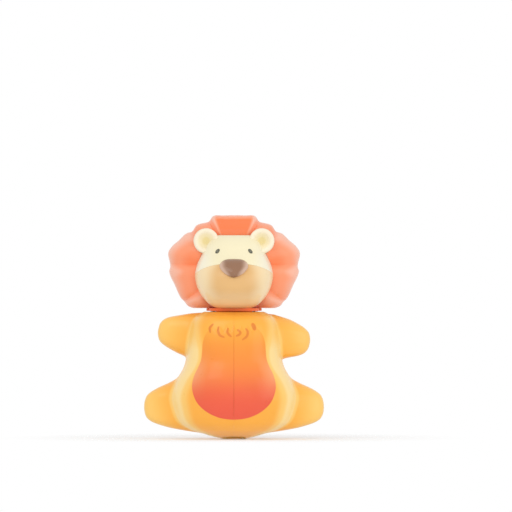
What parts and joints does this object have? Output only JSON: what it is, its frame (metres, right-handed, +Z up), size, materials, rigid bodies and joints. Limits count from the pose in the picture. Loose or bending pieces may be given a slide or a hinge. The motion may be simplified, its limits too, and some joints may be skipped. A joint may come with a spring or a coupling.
{
  "type": "toothbrush cover",
  "caption": "Lion-shaped toothbrush cover: two body halves on geared hinges open like doors round a brush head, hung on a wall by a suction cup behind the head.",
  "frame": {"origin": "centre of the suction cup's lip, on the wall", "axes": "+Y into the wall, so the figure faces -Y; +Z up, from the feet to the mane; +X to the right of someone facing the figure"},
  "size_m": [0.0642, 0.0487, 0.0799],
  "materials": {
    "clear_vinyl": "soft clear vinyl",
    "mane_coral": "satin moulded plastic",
    "face_cream": "satin moulded plastic",
    "muzzle_tan": "satin moulded plastic",
    "nose_brown": "glossy moulded plastic",
    "eye_grey": "glossy moulded plastic",
    "frame_red": "satin moulded plastic",
    "body_orange": "satin moulded plastic",
    "belly_coral": "satin moulded plastic",
    "liner_cream": "fine matt moulded plastic",
    "steel": "plain stainless steel"
  },
  "bodies": {
    "frame": {"suction_cup": "clear_vinyl", "head_back": "mane_coral", "mane": "mane_coral", "face": "face_cream", "muzzle": "muzzle_tan", "nose": "nose_brown", "eye_left": "eye_grey", "eye_right": "eye_grey", "head_screws": "steel", "tab_screws": "steel", "chassis": "frame_red", "pin_left": "steel", "pin_right": "steel"},
    "left_half": {"shell_left": "body_orange", "belly_left": "belly_coral", "liner_left": "liner_cream", "liner_screws_left": "steel"},
    "right_half": {"shell_right": "body_orange", "belly_right": "belly_coral", "liner_right": "liner_cream", "liner_screws_right": "steel"}
  },
  "joints": [
    {"name": "right_hinge", "type": "hinge", "parent": "frame", "child": "right_half", "pos_m": [0.0075, -0.0155, -0.04], "axis": [0, 0, 1], "range_deg": [0, 38]},
    {"name": "left_hinge", "type": "hinge", "parent": "frame", "child": "left_half", "pos_m": [-0.0075, -0.0155, -0.04], "axis": [0, 0, 1], "range_deg": [-38, 0]}
  ],
  "couplings": [
    {"joint": "left_hinge", "follows": "right_hinge", "ratio": -1}
  ]
}
